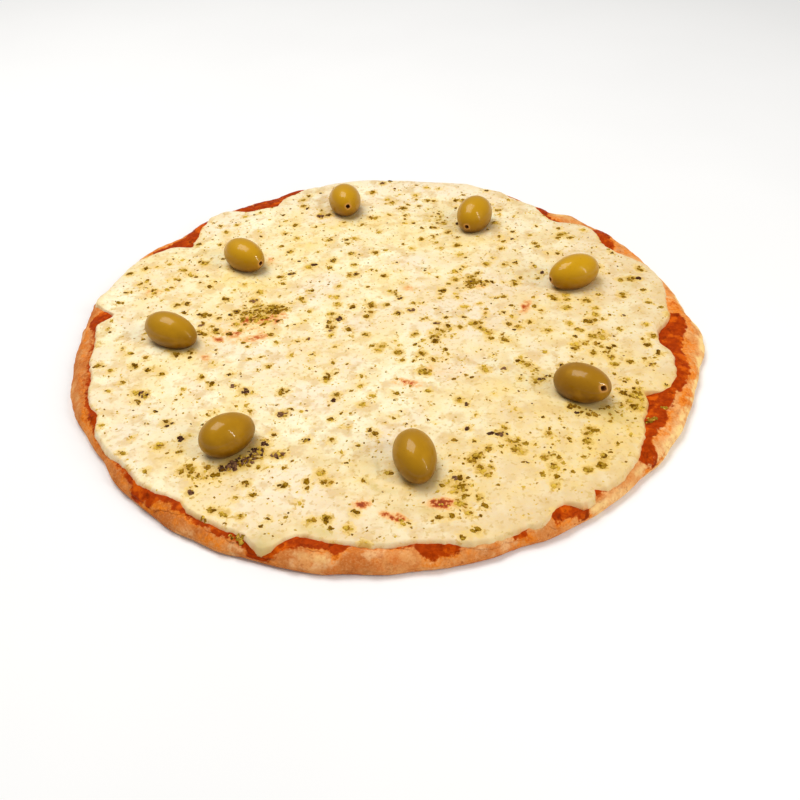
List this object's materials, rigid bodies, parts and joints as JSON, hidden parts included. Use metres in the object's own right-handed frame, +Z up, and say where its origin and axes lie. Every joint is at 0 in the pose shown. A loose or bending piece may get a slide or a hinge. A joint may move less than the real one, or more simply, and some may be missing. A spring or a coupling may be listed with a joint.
{
  "type": "mozzarella pizza",
  "caption": "Round thin-crust mozzarella pizza with tomato sauce at the rim, a ring of green olives and dried herb flakes.",
  "frame": {"origin": "middle of the flat underside, on the surface that the pizza lies on", "axes": "+Z up, +X towards the picture's right, -Y towards the picture's viewer"},
  "size_m": [0.3258, 0.3264, 0.0277],
  "materials": {
    "crust": "dry baked dough, golden tan with darker and paler patches",
    "sauce": "moist red-orange tomato sauce",
    "cheese": "melted cream-coloured cheese, softly glossy, with yellow oily areas",
    "olive": "smooth glossy olive skin, golden green",
    "herb": "dry crumbled herb flakes, olive brown"
  },
  "bodies": {
    "root": {"crust": "crust", "sauce": "sauce", "cheese": "cheese", "olive_1": "olive", "olive_2": "olive", "olive_3": "olive", "olive_4": "olive", "olive_5": "olive", "olive_6": "olive", "olive_7": "olive", "olive_8": "olive"}
  },
  "joints": []
}
